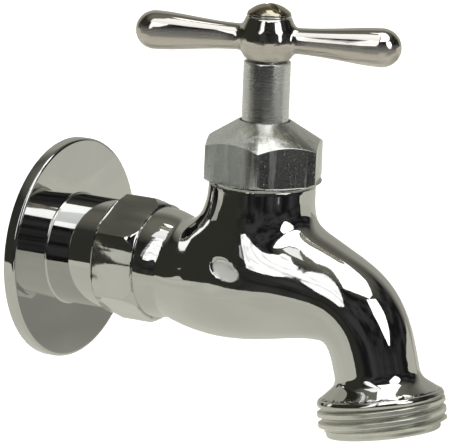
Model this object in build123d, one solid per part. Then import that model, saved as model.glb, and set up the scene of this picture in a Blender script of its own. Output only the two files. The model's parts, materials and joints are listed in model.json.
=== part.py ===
from build123d import *
import os
from math import cos, radians, sin, sqrt, tan

# A wall-mounted hose bib: a compression valve with a renewable seat, a drop-in bonnet, a tee
# handle and a garden-hose outlet. Lengths are millimetres. The origin is where the inlet axis
# meets the wall. +X runs out of the wall towards the spout, +Z is up.

# ---- driving dimensions ----
STEM_X = 48.8                 # stem axis, measured from the wall
LEAD = 2.0                    # rise of the stem in one turn
TURNS = 2.25                  # from shut to fully open
LIFT = LEAD * TURNS

FLANGE_R = 23.45
FLANGE_DEPTH = 2.8
SHEET = 0.9
SLEEVE_R = 11.65
SLEEVE_END_X = 14.4

HEX_AF = 23.4                 # across the flats, both of the inlet hex and of the cap nut
HEX_CORNER_R = HEX_AF / sqrt(3)
BOSS_START_X = 14.5
BOSS_NOSE_X = (18.6, 24.75)   # the hexagon is turned away in a round nose between these
BOSS_END_X = 25.0
SPIGOT_R = 10.85
SPIGOT_START_X = 1.5
TUBE_R = 10.8

INLET_MOUTH_R = 8.75          # plain lead-in ahead of the inlet thread
INLET_MOUTH_END_X = 3.3
INLET_ROOT_R = 8.45           # 3/8-18 NPT female thread, taper left out
INLET_CREST_R = 7.5
INLET_PITCH = 25.4 / 18
INLET_THREAD_END_X = 14.0
WATERWAY_R = 6.4

NECK_R = 10.8
NECK_RING_R = 11.0            # thin turned ring under the nut
NECK_RING_Z = 20.6
NECK_TOP_Z = 21.2
NECK_BORE_R = 8.3
NECK_THREAD_R = 9.8
NECK_RIM_Z = 27.0
CHAMBER_FLOOR_Z = 2.6
SEAT_HOLE_R = 5.6             # hole for the seat, through the partition
SEAT_HOLE_BOTTOM_Z = -2.0
INLET_END = (47.0, -5.2, 5.3)     # X, Z and radius of the inlet way's blind end, under the seat
OUTLET_WAY_R = 6.8

OUTLET_TILT = 9.0             # the mouth leans away from the wall, degrees
OUTLET_AT = (79.95, -23.06)   # X and Z of a point on the mouth's axis, at the top of the thread
HOSE_MAJOR_R = 13.49          # 3/4-11.5 NH garden hose thread
HOSE_ROOT_R = 12.3
HOSE_PITCH = 25.4 / 11.5
HOSE_TURNS = 1.75
HOSE_MIDDLE = 0.8             # middle of the thread, below OUTLET_AT along the mouth's axis
HOSE_BORE_R = 8.8
PILOT_R = 12.0
MOUTH_END = 5.1               # the end face, below OUTLET_AT

SEAT_ORIFICE_R = 4.3
SEAT_RIM_Z = 4.4
SEAT_FLANGE_R = 7.0
WASHER_R = 6.6
WASHER_T = 3.2
WASHER_GAP = 0.02             # left between the shut washer and the seat
WASHER_SCREW_R = 1.5
HOLDER_R = 7.2
HOLDER_TOP_Z = 9.6
HOLDER_STUB_R = 2.2

STEM_R = 4.94
STEM_SHOULDER_Z = 46.3
STEM_THREAD_ROOT_R = 5.05
STEM_THREAD_R = 6.0
STEM_TURNS = 3.0
DRIVE_AF = 6.6                # square end of the stem
DRIVE_TOP_Z = 53.4
DRIVE_CORNER_R = 0.5

BONNET_BOTTOM_Z = HOLDER_TOP_Z + LIFT + 0.4
BONNET_THREAD_TOP_Z = BONNET_BOTTOM_Z + 6.0
BONNET_RELIEF_TOP_Z = BONNET_THREAD_TOP_Z + 2.2
BONNET_ROOT_R = 6.15
BONNET_CREST_R = 5.2
BONNET_TURNS = 2.4
BONNET_SLEEVE_R = 8.2
BONNET_FLANGE_R = 9.1
BONNET_BORE_R = 5.0
BONNET_RELIEF_R = 6.4
BONNET_TOP_R = 7.0
GASKET_T = 0.8
BONNET_FLANGE_T = 1.2
BONNET_TOP_Z = 30.9
O_RING_WIRE = 1.6
O_RING_GROOVE_R = 6.6
O_RING_HEIGHTS = (25.0, 28.0)

NUT_BOTTOM_Z = 21.35
NUT_FLAT_TOP_Z = 29.96        # where the cone meets the middle of a flat
NUT_TOP_Z = 33.8
NUT_CONE_ANGLE = 31.6
NUT_TURN = 25.7 - 90.0        # angle of one corner about the stem, from +X
NUT_HOLE_R = 5.3

BAR_Z = 51.0                  # height of the handle's arms
BAR_TURN = 18.25              # angle of the arms to the wall's normal, with the valve shut
BAR_REACH = 28.4
HUB_R = 6.0
HUB_BOTTOM_Z = 47.5
HUB_TOP_Z = 55.8
HEAD_R = 4.55
HEAD_T = 2.3
HANDLE_WASHER_R = 4.7
HANDLE_WASHER_T = 0.4
SCREW_R = 2.4
SCREW_SLOT = (1.1, 1.2)       # width and depth
CUT = 1.0                     # how far a cutting solid runs past the face it opens


# ---- helpers ----
def ring(plane_points):
    """Solid of revolution about the stem axis, from (radius, z) points."""
    profile = Polyline(*[(radius, 0, z) for radius, z in plane_points], close=True)
    return Pos(STEM_X, 0, 0) * revolve(make_face(profile), Axis.Z)


def along_x(plane_points):
    """Solid of revolution about the inlet axis, from (x, radius) points."""
    profile = Polyline(*[(x, 0, radius) for x, radius in plane_points], close=True)
    return revolve(make_face(profile), Axis.X)


def tube_through(stations):
    """Smooth solid with a round section at each (x, z, radius) station."""
    path = Spline(*[(x, 0, z) for x, z, _ in stations])
    sections = []
    for x, z, radius in stations:
        along = path % path.param_at_point(Vector(x, 0, z))
        sections.append(Plane(origin=(x, 0, z), x_dir=(0, 1, 0), z_dir=along) * Circle(radius))
    return loft(sections)


def cylinder_z(radius, bottom, top):
    return Pos(STEM_X, 0, bottom) * extrude(Circle(radius), top - bottom)


def thread_ridge(pitch, turns, root_r, crest_r, foot, crest):
    """Right-hand helical ridge about Z, foot wide at root_r, that crosses +X at z = 0."""
    path = Pos(0, 0, -pitch * turns / 2) * Helix(pitch=pitch, height=pitch * turns, radius=root_r)
    sink = 0.15 if crest_r < root_r else -0.15
    points = [
        (root_r + sink, -foot / 2),
        (crest_r, -crest / 2),
        (crest_r, crest / 2),
        (root_r + sink, foot / 2),
    ]
    outline = Polyline(*[(radius, 0, z - pitch * turns / 2) for radius, z in points], close=True)
    return Rot(0, 0, -180 * turns) * sweep(make_face(outline), path=path, is_frenet=True)


MOUTH = Plane(
    origin=(OUTLET_AT[0], 0, OUTLET_AT[1]),
    x_dir=(0, 1, 0),
    z_dir=(sin(radians(OUTLET_TILT)), 0, -cos(radians(OUTLET_TILT))),
)


def mouth_station(below, radius):
    """A spout station on the mouth's axis, at a distance below OUTLET_AT."""
    x = OUTLET_AT[0] + below * sin(radians(OUTLET_TILT))
    z = OUTLET_AT[1] - below * cos(radians(OUTLET_TILT))
    return (x, z, radius)


def about_mouth(plane_points):
    """Solid of revolution about the mouth's axis, from (distance below, radius) points."""
    profile = Polyline(*[(radius, 0, below) for below, radius in plane_points], close=True)
    return MOUTH.location * revolve(make_face(profile), Axis.Z)


# ---- valve body: one casting ----
OUTSIDE = [
    (24.0, 0.0, TUBE_R),
    (28.0, -0.25, TUBE_R + 0.05),
    (33.0, -0.9, 11.3),
    (38.0, -0.9, 12.25),
    (43.0, -0.25, 13.15),
    (48.8, 0.6, 13.4),
    (54.0, 1.05, 13.0),
    (60.0, 0.57, 11.6),
    (65.3, -0.6, 10.3),
    (69.4, -2.1, 9.62),
    (72.7, -4.3, 9.3),
    (75.2, -7.4, 9.1),
    (77.0, -11.2, 8.95),
    (78.3, -15.0, 8.95),
    mouth_station(-4.5, 8.95),
]
INLET_WAY = [
    (13.0, 0.0, WATERWAY_R),
    (22.0, -0.3, WATERWAY_R),
    (30.0, -2.0, 6.1),
    (38.0, -4.5, 5.6),
    INLET_END,
]
OUTLET_WAY = [
    (52.0, 6.0, 6.6),
    (57.0, 3.2, 6.6),
    (62.7, 0.6, 6.7),
    (68.5, -1.9, OUTLET_WAY_R),
    (72.7, -4.5, OUTLET_WAY_R),
    (76.0, -9.2, OUTLET_WAY_R),
    (78.3, -15.0, OUTLET_WAY_R),
    mouth_station(-2.0, OUTLET_WAY_R),
]
CROTCH_FILLET = 6.0
PAD_CENTRE = (STEM_X - 0.2, 3.6)
PAD_REACH = 12.9              # the flat's distance from the middle plane
PAD_HALF = (3.45, 1.95)
PAD_TILT = -22


def inlet_boss():
    """Wrench hexagon with corners at top and bottom, turned away to a round nose at its front."""
    start = Plane(origin=(BOSS_START_X, 0, 0), x_dir=(0, 0, 1), z_dir=(1, 0, 0))
    prism = extrude(start * RegularPolygon(HEX_CORNER_R, 6), BOSS_END_X - BOSS_START_X)
    nose_start, nose_end = BOSS_NOSE_X
    nose_rise = HEX_CORNER_R + 0.25 - TUBE_R
    nose = [
        (nose_start + (nose_end - nose_start) * sin(radians(turn)), TUBE_R + nose_rise * cos(radians(turn)))
        for turn in range(0, 90, 15)
    ]
    turned = along_x([
        (BOSS_START_X, 0),
        (BOSS_START_X, HEX_CORNER_R - 0.9),
        (BOSS_START_X + 0.5, HEX_CORNER_R + 0.25),
        *nose,
        (BOSS_END_X, TUBE_R + 0.1),
        (BOSS_END_X, 0),
    ])
    return prism & turned


def hose_collar():
    """Flared shoulder with a bead, thread core and pilot around the mouth."""
    core = about_mouth([
        (-6.2, 0),
        (-6.2, 8.7),
        (-5.2, 9.5),
        (-4.4, 10.6),
        (-3.3, 12.2),
        (-2.8, 12.9),
        (-2.4, 13.2),
        (-1.9, 13.2),
        (-1.6, 12.9),
        (-1.4, HOSE_ROOT_R),
        (3.7, HOSE_ROOT_R),
        (3.7, PILOT_R),
        (MOUTH_END - 0.5, PILOT_R),
        (MOUTH_END, PILOT_R - 0.5),
        (MOUTH_END, 0),
    ])
    ridge = thread_ridge(HOSE_PITCH, HOSE_TURNS, HOSE_ROOT_R, HOSE_MAJOR_R, 1.9, 0.55)
    return core + MOUTH.location * Pos(0, 0, HOSE_MIDDLE) * ridge


def inlet_bore():
    """The space of the inlet's mouth and thread, without the thread's own ridge."""
    return along_x([
        (0, 0),
        (0, INLET_MOUTH_R + 0.7),
        (SPIGOT_START_X, INLET_MOUTH_R + 0.7),
        (SPIGOT_START_X + 0.7, INLET_MOUTH_R),
        (INLET_MOUTH_END_X, INLET_MOUTH_R),
        (INLET_MOUTH_END_X + 0.3, INLET_ROOT_R),
        (INLET_THREAD_END_X, INLET_ROOT_R),
        (INLET_THREAD_END_X + 1.5, WATERWAY_R),
        (INLET_THREAD_END_X + 1.5, 0),
    ])


def inlet_thread():
    length = INLET_THREAD_END_X - INLET_MOUTH_END_X - INLET_PITCH
    middle = (INLET_THREAD_END_X + INLET_MOUTH_END_X) / 2
    turns = length / INLET_PITCH
    ridge = thread_ridge(INLET_PITCH, turns, INLET_ROOT_R, INLET_CREST_R, 1.25, 0.15)
    return Plane(origin=(middle, 0, 0), z_dir=(1, 0, 0)).location * ridge


def valve_body():
    run = tube_through(OUTSIDE)
    neck = cylinder_z(NECK_R, 0, NECK_TOP_Z)
    body = run + neck
    crotch = [
        edge for edge in body.edges()
        if edge.geom_type == GeomType.BSPLINE and edge.length > 50 and 35 < edge.center().X < 62
    ]
    body = fillet(crotch, CROTCH_FILLET)
    body += cylinder_z(NECK_RING_R, NECK_RING_Z, NECK_TOP_Z)
    rim = body.edges().filter_by(GeomType.CIRCLE).group_by(Axis.Z)[-1]
    body = chamfer(rim, 0.25)
    body += cylinder_z(NECK_THREAD_R, NECK_TOP_Z - 1, NECK_RIM_Z)
    body += inlet_boss()
    body += along_x([
        (SPIGOT_START_X, 0),
        (SPIGOT_START_X, SPIGOT_R - 0.5),
        (SPIGOT_START_X + 0.5, SPIGOT_R),
        (BOSS_START_X + 1, SPIGOT_R),
        (BOSS_START_X + 1, 0),
    ])
    body += hose_collar()

    pad = Plane(origin=(PAD_CENTRE[0], -PAD_REACH, PAD_CENTRE[1]), x_dir=(1, 0, 0), z_dir=(0, -1, 0))
    body -= pad * Rot(0, 0, PAD_TILT) * extrude(Ellipse(*PAD_HALF), CUT)

    body -= tube_through(INLET_WAY)
    body -= Pos(INLET_END[0], 0, INLET_END[1]) * Sphere(INLET_END[2])
    body -= inlet_bore()
    body += inlet_thread()
    body -= cylinder_z(NECK_BORE_R, CHAMBER_FLOOR_Z, NECK_RIM_Z + CUT)
    body -= cylinder_z(SEAT_HOLE_R, SEAT_HOLE_BOTTOM_Z, CHAMBER_FLOOR_Z + CUT)
    body -= tube_through(OUTLET_WAY)
    body -= about_mouth([
        (-3.0, 0),
        (-3.0, OUTLET_WAY_R),
        (-1.0, HOSE_BORE_R),
        (MOUTH_END + CUT, HOSE_BORE_R),
        (MOUTH_END + CUT, 0),
    ])
    return body


# ---- wall flange: one pressing with a sleeve over the inlet spigot ----
def wall_flange():
    return along_x([
        (0, FLANGE_R),
        (1.7, FLANGE_R),
        (2.4, FLANGE_R - 0.25),
        (FLANGE_DEPTH, FLANGE_R - 0.9),
        (FLANGE_DEPTH, SLEEVE_R + 0.6),
        (FLANGE_DEPTH + 0.6, SLEEVE_R),
        (SLEEVE_END_X - 0.2, SLEEVE_R),
        (SLEEVE_END_X, SLEEVE_R - 0.2),
        (SLEEVE_END_X, SPIGOT_R + 0.02),
        (FLANGE_DEPTH - SHEET, SPIGOT_R + 0.02),
        (FLANGE_DEPTH - SHEET, FLANGE_R - 1.5),
        (0, FLANGE_R - 1.5),
    ])


# ---- cap nut that clamps the bonnet ----
def cap_nut():
    hexagon = RegularPolygon(HEX_CORNER_R, 6, rotation=NUT_TURN)
    prism = Pos(STEM_X, 0, NUT_BOTTOM_Z) * extrude(hexagon, NUT_TOP_Z - NUT_BOTTOM_Z)
    slope = tan(radians(NUT_CONE_ANGLE))
    flat_r = HEX_AF / 2
    outer_r = HEX_CORNER_R + 1
    cone_foot_z = NUT_FLAT_TOP_Z - (outer_r - flat_r) * slope
    top_r = flat_r - (NUT_TOP_Z - NUT_FLAT_TOP_Z) / slope
    turned = ring([
        (0, NUT_BOTTOM_Z),
        (HEX_CORNER_R - 0.7, NUT_BOTTOM_Z),
        (outer_r, NUT_BOTTOM_Z + 1.0),
        (outer_r, cone_foot_z),
        (top_r + 0.3, NUT_TOP_Z),
        (0, NUT_TOP_Z),
    ])
    flange_top = NECK_RIM_Z + GASKET_T + BONNET_FLANGE_T
    cavity = ring([
        (0, NUT_BOTTOM_Z - CUT),
        (NECK_THREAD_R + 0.02, NUT_BOTTOM_Z - CUT),
        (NECK_THREAD_R + 0.02, NECK_RIM_Z + 0.3),
        (BONNET_FLANGE_R + 0.1, NECK_RIM_Z + 0.3),
        (BONNET_FLANGE_R + 0.1, flange_top),
        (BONNET_TOP_R + 0.2, flange_top),
        (BONNET_TOP_R + 0.2, BONNET_TOP_Z + 0.2),
        (NUT_HOLE_R, BONNET_TOP_Z + 0.2),
        (NUT_HOLE_R, NUT_TOP_Z + CUT),
        (0, NUT_TOP_Z + CUT),
    ])
    return (prism & turned) - cavity


# ---- drop-in bonnet: guides the stem and carries its thread ----
def bonnet():
    flange_z = NECK_RIM_Z + GASKET_T
    shell = ring([
        (BONNET_ROOT_R, BONNET_BOTTOM_Z),
        (BONNET_SLEEVE_R - 0.4, BONNET_BOTTOM_Z),
        (BONNET_SLEEVE_R, BONNET_BOTTOM_Z + 0.4),
        (BONNET_SLEEVE_R, flange_z),
        (BONNET_FLANGE_R, flange_z),
        (BONNET_FLANGE_R, flange_z + BONNET_FLANGE_T),
        (BONNET_TOP_R, flange_z + BONNET_FLANGE_T),
        (BONNET_TOP_R, BONNET_TOP_Z),
        (BONNET_BORE_R, BONNET_TOP_Z),
        (BONNET_BORE_R, BONNET_RELIEF_TOP_Z),
        (BONNET_RELIEF_R, BONNET_RELIEF_TOP_Z),
        (BONNET_RELIEF_R, BONNET_THREAD_TOP_Z),
        (BONNET_ROOT_R, BONNET_THREAD_TOP_Z),
    ])
    for height in O_RING_HEIGHTS:
        half = O_RING_WIRE / 2 + 0.2
        shell -= ring([
            (BONNET_BORE_R - 0.5, height - half),
            (O_RING_GROOVE_R, height - half),
            (O_RING_GROOVE_R, height + half),
            (BONNET_BORE_R - 0.5, height + half),
        ])
    ridge = thread_ridge(LEAD, BONNET_TURNS, BONNET_ROOT_R, BONNET_CREST_R, 0.8, 0.4)
    return shell + Pos(STEM_X, 0, (BONNET_BOTTOM_Z + BONNET_THREAD_TOP_Z) / 2) * ridge


def bonnet_gasket():
    return ring([
        (NECK_BORE_R, NECK_RIM_Z),
        (BONNET_FLANGE_R, NECK_RIM_Z),
        (BONNET_FLANGE_R, NECK_RIM_Z + GASKET_T),
        (NECK_BORE_R, NECK_RIM_Z + GASKET_T),
    ])


def o_ring(height):
    centre_r = STEM_R + 0.03 + O_RING_WIRE / 2
    return Pos(STEM_X, 0, height) * Torus(centre_r, O_RING_WIRE / 2)


# ---- renewable seat, screwed into the partition ----
def valve_seat():
    return ring([
        (SEAT_ORIFICE_R, -0.4),
        (SEAT_HOLE_R - 0.05, -0.4),
        (SEAT_HOLE_R - 0.05, CHAMBER_FLOOR_Z),
        (SEAT_FLANGE_R, CHAMBER_FLOOR_Z),
        (SEAT_FLANGE_R, CHAMBER_FLOOR_Z + 0.9),
        (5.6, SEAT_RIM_Z - 0.2),
        (5.4, SEAT_RIM_Z),
        (5.0, SEAT_RIM_Z),
        (SEAT_ORIFICE_R, SEAT_RIM_Z - 0.5),
    ])


# ---- swivelling washer holder with its rubber washer and screw ----
def disc_holder():
    bottom = SEAT_RIM_Z + WASHER_GAP + WASHER_T
    cup = ring([
        (0, bottom),
        (WASHER_R, bottom),
        (WASHER_R, bottom - 1.4),
        (HOLDER_R, bottom - 1.4),
        (HOLDER_R, HOLDER_TOP_Z - 0.5),
        (HOLDER_R - 0.5, HOLDER_TOP_Z),
        (HOLDER_STUB_R, HOLDER_TOP_Z),
        (HOLDER_STUB_R, HOLDER_TOP_Z + 3.6),
        (HOLDER_STUB_R + 0.3, HOLDER_TOP_Z + 4.0),
        (HOLDER_STUB_R, HOLDER_TOP_Z + 4.6),
        (HOLDER_STUB_R - 0.4, HOLDER_TOP_Z + 5.0),
        (0, HOLDER_TOP_Z + 5.0),
    ])
    return cup - cylinder_z(WASHER_SCREW_R, bottom - CUT, bottom + 4.4)


def seat_washer():
    bottom = SEAT_RIM_Z + WASHER_GAP
    return ring([
        (WASHER_SCREW_R + 0.1, bottom),
        (WASHER_R - 0.4, bottom),
        (WASHER_R, bottom + 0.4),
        (WASHER_R, bottom + WASHER_T),
        (WASHER_SCREW_R + 0.1, bottom + WASHER_T),
    ])


def washer_screw():
    face = SEAT_RIM_Z + WASHER_GAP
    screw = ring([
        (0, face - 1.7),
        (1.6, face - 1.7),
        (2.7, face - 0.9),
        (2.8, face),
        (WASHER_SCREW_R, face),
        (WASHER_SCREW_R, face + WASHER_T + 3.6),
        (0, face + WASHER_T + 4.1),
    ])
    return screw - Pos(STEM_X, 0, face - 1.7) * Box(6, 0.7, 1.6)


# ---- stem: lead thread, journal and square drive ----
def stem():
    bottom = HOLDER_TOP_Z + 0.05
    # a whole number of leads and a half below the bonnet's thread, so the ridges interleave
    thread_middle = (BONNET_BOTTOM_Z + BONNET_THREAD_TOP_Z) / 2 - 1.5 * LEAD
    thread_top = thread_middle + LEAD * STEM_TURNS / 2 + 0.6
    core = ring([
        (0, bottom),
        (4.4, bottom),
        (STEM_THREAD_ROOT_R, bottom + 0.6),
        (STEM_THREAD_ROOT_R, thread_top),
        (STEM_R, thread_top + 0.1),
        (STEM_R, STEM_SHOULDER_Z - 0.5),
        (STEM_R - 0.5, STEM_SHOULDER_Z),
        (0, STEM_SHOULDER_Z),
    ])
    ridge = thread_ridge(LEAD, STEM_TURNS, STEM_THREAD_ROOT_R, STEM_THREAD_R, 0.9, 0.5)
    core += Pos(STEM_X, 0, thread_middle) * ridge
    drive = RectangleRounded(DRIVE_AF, DRIVE_AF, DRIVE_CORNER_R)
    drive_start_z = STEM_SHOULDER_Z - 0.5
    core += Pos(STEM_X, 0, drive_start_z) * extrude(drive, DRIVE_TOP_Z - drive_start_z)
    socket = ring([
        (0, bottom - CUT),
        (HOLDER_STUB_R + 0.05, bottom - CUT),
        (HOLDER_STUB_R + 0.05, HOLDER_TOP_Z + 3.45),
        (HOLDER_STUB_R + 0.4, HOLDER_TOP_Z + 3.8),
        (HOLDER_STUB_R + 0.4, HOLDER_TOP_Z + 4.9),
        (HOLDER_STUB_R, HOLDER_TOP_Z + 5.2),
        (0, HOLDER_TOP_Z + 5.2),
    ])
    return core - socket - cylinder_z(SCREW_R, HUB_BOTTOM_Z - 2, DRIVE_TOP_Z + CUT)


# ---- tee handle, its washer and its screw ----
def tee_handle():
    hub = ring([
        (0, HUB_BOTTOM_Z),
        (HUB_R - 1.3, HUB_BOTTOM_Z),
        (HUB_R - 0.5, HUB_BOTTOM_Z + 1.1),
        (HUB_R, BAR_Z - 1.0),
        (HUB_R + 0.1, BAR_Z),
        (HUB_R, BAR_Z + 1.2),
        (HUB_R - 0.3, BAR_Z + 2.6),
        (HUB_R - 0.8, BAR_Z + 3.9),
        (HUB_R - 1.3, HUB_TOP_Z),
        (0, HUB_TOP_Z),
    ])
    profile = Spline(
        (0, 2.8), (9.0, 2.85), (16.0, 3.45), (22.0, 4.0), (25.6, 3.95), (27.7, 2.6), (BAR_REACH, 0),
        tangents=[(1, 0), (0, -1)],
    )
    outline = profile + Line((BAR_REACH, 0), (0, 0)) + Line((0, 0), (0, 2.8))
    arm = revolve(make_face(outline), Axis.X)
    handle = hub
    for turn in (BAR_TURN, BAR_TURN + 180):
        handle += Pos(STEM_X, 0, BAR_Z) * Rot(0, 0, turn) * arm
    square = RectangleRounded(DRIVE_AF + 0.04, DRIVE_AF + 0.04, DRIVE_CORNER_R)
    hole = Pos(STEM_X, 0, HUB_BOTTOM_Z - CUT) * extrude(square, DRIVE_TOP_Z - HUB_BOTTOM_Z + CUT)
    return handle - hole - cylinder_z(SCREW_R + 0.2, HUB_BOTTOM_Z, HUB_TOP_Z + CUT)


def handle_washer():
    return ring([
        (SCREW_R + 0.2, HUB_TOP_Z),
        (HANDLE_WASHER_R, HUB_TOP_Z),
        (HANDLE_WASHER_R, HUB_TOP_Z + HANDLE_WASHER_T),
        (SCREW_R + 0.2, HUB_TOP_Z + HANDLE_WASHER_T),
    ])


def handle_screw():
    base = HUB_TOP_Z + HANDLE_WASHER_T
    dome_r = (HEAD_R ** 2 + (HEAD_T - 0.6) ** 2) / (2 * (HEAD_T - 0.6))
    head = cylinder_z(HEAD_R, base, base + HEAD_T)
    head &= Pos(STEM_X, 0, base + HEAD_T - dome_r) * Sphere(dome_r)
    shank = cylinder_z(SCREW_R, HUB_BOTTOM_Z, base + 0.5)
    slot = Pos(STEM_X, 0, base + HEAD_T) * Box(3 * HEAD_R, SCREW_SLOT[0], 2 * SCREW_SLOT[1])
    return head + shank - slot


NODES = {
    "valve_body": valve_body,
    "wall_flange": wall_flange,
    "cap_nut": cap_nut,
    "bonnet": bonnet,
    "bonnet_gasket": bonnet_gasket,
    "o_ring_lower": lambda: o_ring(O_RING_HEIGHTS[0]),
    "o_ring_upper": lambda: o_ring(O_RING_HEIGHTS[1]),
    "valve_seat": valve_seat,
    "disc_holder": disc_holder,
    "seat_washer": seat_washer,
    "washer_screw": washer_screw,
    "stem": stem,
    "tee_handle": tee_handle,
    "handle_washer": handle_washer,
    "handle_screw": handle_screw,
}

os.makedirs("parts", exist_ok=True)
for name, build in NODES.items():
    export_step(build(), f"parts/{name}.step")
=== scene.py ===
import json
from math import atan, cos, pi, radians, sin, sqrt, tan

import bpy
import numpy as np
from mathutils import Matrix, Vector


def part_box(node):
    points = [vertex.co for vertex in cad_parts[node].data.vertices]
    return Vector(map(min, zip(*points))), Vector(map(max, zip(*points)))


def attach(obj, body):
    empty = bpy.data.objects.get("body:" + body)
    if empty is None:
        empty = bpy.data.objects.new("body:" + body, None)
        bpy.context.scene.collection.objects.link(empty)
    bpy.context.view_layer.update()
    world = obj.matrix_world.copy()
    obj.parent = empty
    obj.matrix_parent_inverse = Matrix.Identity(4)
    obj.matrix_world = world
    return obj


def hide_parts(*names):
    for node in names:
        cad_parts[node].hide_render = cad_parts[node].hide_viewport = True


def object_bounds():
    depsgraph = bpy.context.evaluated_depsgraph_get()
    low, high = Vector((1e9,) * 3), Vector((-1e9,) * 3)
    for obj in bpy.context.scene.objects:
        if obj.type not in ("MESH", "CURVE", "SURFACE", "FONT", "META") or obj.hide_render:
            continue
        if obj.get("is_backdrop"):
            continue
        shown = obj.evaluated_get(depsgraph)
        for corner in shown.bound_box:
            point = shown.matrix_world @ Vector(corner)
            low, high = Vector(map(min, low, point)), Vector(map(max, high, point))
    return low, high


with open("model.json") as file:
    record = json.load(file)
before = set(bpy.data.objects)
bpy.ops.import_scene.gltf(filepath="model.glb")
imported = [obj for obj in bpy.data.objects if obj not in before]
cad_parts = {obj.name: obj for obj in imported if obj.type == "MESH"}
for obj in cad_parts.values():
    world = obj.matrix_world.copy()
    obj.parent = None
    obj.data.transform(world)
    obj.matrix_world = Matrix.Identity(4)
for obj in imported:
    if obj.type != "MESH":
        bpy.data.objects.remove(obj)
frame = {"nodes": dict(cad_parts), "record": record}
CAD_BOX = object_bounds()

# Shapes are worked out in millimetres and turned into metres when a mesh is made.
MM = 0.001


def box_mm(node):
    """Lowest and highest corners of a CAD node, in millimetres."""
    low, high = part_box(node)
    return np.array(low) / MM, np.array(high) / MM


# ---- sizes, read from the frame where it holds them ----
BODY_LOW, BODY_HIGH = box_mm("valve_body")
FLANGE_HIGH = box_mm("wall_flange")[1]
NUT_LOW, NUT_HIGH = box_mm("cap_nut")
STEM_LOW, STEM_HIGH = box_mm("stem")
HANDLE_LOW, HANDLE_HIGH = box_mm("tee_handle")
WASHER_LOW, WASHER_HIGH = box_mm("handle_washer")
HEAD_LOW, HEAD_HIGH = box_mm("handle_screw")

STEM_X = (STEM_LOW[0] + STEM_HIGH[0]) / 2
CAMERA_AZIMUTH, CAMERA_ELEVATION, CAMERA_ROLL = radians(31.81), radians(11.55), radians(2.22)
FLANGE_R = FLANGE_HIGH[1]
SLEEVE_END_X = FLANGE_HIGH[0]
HEX_AF = 23.4
HEX_CORNER_R = HEX_AF / sqrt(3)
MOUTH_TILT = radians(9.0)
MOUTH_X, MOUTH_Z = 79.95, -23.06
MOUTH_AXIS = np.array([sin(MOUTH_TILT), 0.0, -cos(MOUTH_TILT)])
HOSE_MAJOR_R = BODY_HIGH[1]

BODY_OF = {
    node: body for body, nodes in frame["record"]["behaviour"]["bodies"].items() for node in nodes
}


# ---- mesh helpers ----
def make_piece(name, points, faces, node, material):
    """A mesh object from points in millimetres, standing for a CAD node on that node's body."""
    mesh = bpy.data.meshes.new(name)
    mesh.from_pydata((np.asarray(points) * MM).tolist(), [], [list(map(int, f)) for f in faces])
    mesh.validate()
    mesh.polygons.foreach_set("use_smooth", [True] * len(mesh.polygons))
    mesh.update()
    piece = bpy.data.objects.new(name, mesh)
    bpy.context.collection.objects.link(piece)
    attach(piece, BODY_OF[node])
    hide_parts(node)
    mesh.materials.append(material)
    return piece


def grid_faces(rows, columns, wrap_rows=False, wrap_columns=True):
    """Quads of a grid whose points are stored row by row."""
    i = np.arange(rows if wrap_rows else rows - 1)
    j = np.arange(columns if wrap_columns else columns - 1)
    i, j = [a.ravel() for a in np.meshgrid(i, j, indexing="ij")]
    i2, j2 = (i + 1) % rows, (j + 1) % columns
    return np.stack([i * columns + j, i * columns + j2, i2 * columns + j2, i2 * columns + j], 1)


def rounded(corners, steps=6):
    """A closed outline from (a, b, fillet) corners, each filleted corner turned into an arc."""
    outline = []
    count = len(corners)
    for k in range(count):
        p = np.array(corners[k][:2], float)
        fillet = corners[k][2] if len(corners[k]) > 2 else 0
        if fillet <= 0:
            outline.append(p)
            continue
        before = np.array(corners[k - 1][:2], float) - p
        after = np.array(corners[(k + 1) % count][:2], float) - p
        len_b, len_a = np.linalg.norm(before), np.linalg.norm(after)
        before, after = before / len_b, after / len_a
        half = np.arccos(np.clip(before @ after, -1, 1)) / 2
        # two fillets on one side never meet
        reach = min(fillet / tan(half), 0.49 * len_b, 0.49 * len_a)
        # a quadratic curve stands for the arc: at these sizes the two can't be told apart
        start, end = p + before * reach, p + after * reach
        for m in range(steps + 1):
            u = m / steps
            outline.append((1 - u) ** 2 * start + 2 * u * (1 - u) * p + u**2 * end)
    return np.array(outline)


def axis_frame(origin, along, side):
    """A map from (along, radius, angle) to space, for turned shapes."""
    origin, along, side = [np.asarray(v, float) for v in (origin, along, side)]
    third = np.cross(along, side)

    def place(s, r, angle):
        s, r, angle = np.broadcast_arrays(s, r, angle)
        return (
            origin
            + s[..., None] * along
            + (r * np.cos(angle))[..., None] * side
            + (r * np.sin(angle))[..., None] * third
        )

    return place


ABOUT_STEM = axis_frame((STEM_X, 0, 0), (0, 0, 1), (1, 0, 0))
ABOUT_INLET = axis_frame((0, 0, 0), (1, 0, 0), (0, 0, 1))
ABOUT_MOUTH = axis_frame((MOUTH_X, 0, MOUTH_Z), MOUTH_AXIS, (0, 1, 0))


def even_angles(count):
    return np.arange(count) * 2 * pi / count


def close_on_axis(points, faces, columns):
    """Merge the first and the last ring of points, which lie on the axis, into one point each."""
    last = len(points) - columns
    merged = np.maximum(np.minimum(np.arange(len(points)), last) - (columns - 1), 0)
    corners = [list(dict.fromkeys(face)) for face in merged[faces].tolist()]
    return np.concatenate([points[:1], points[columns:last + 1]]), corners


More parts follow.
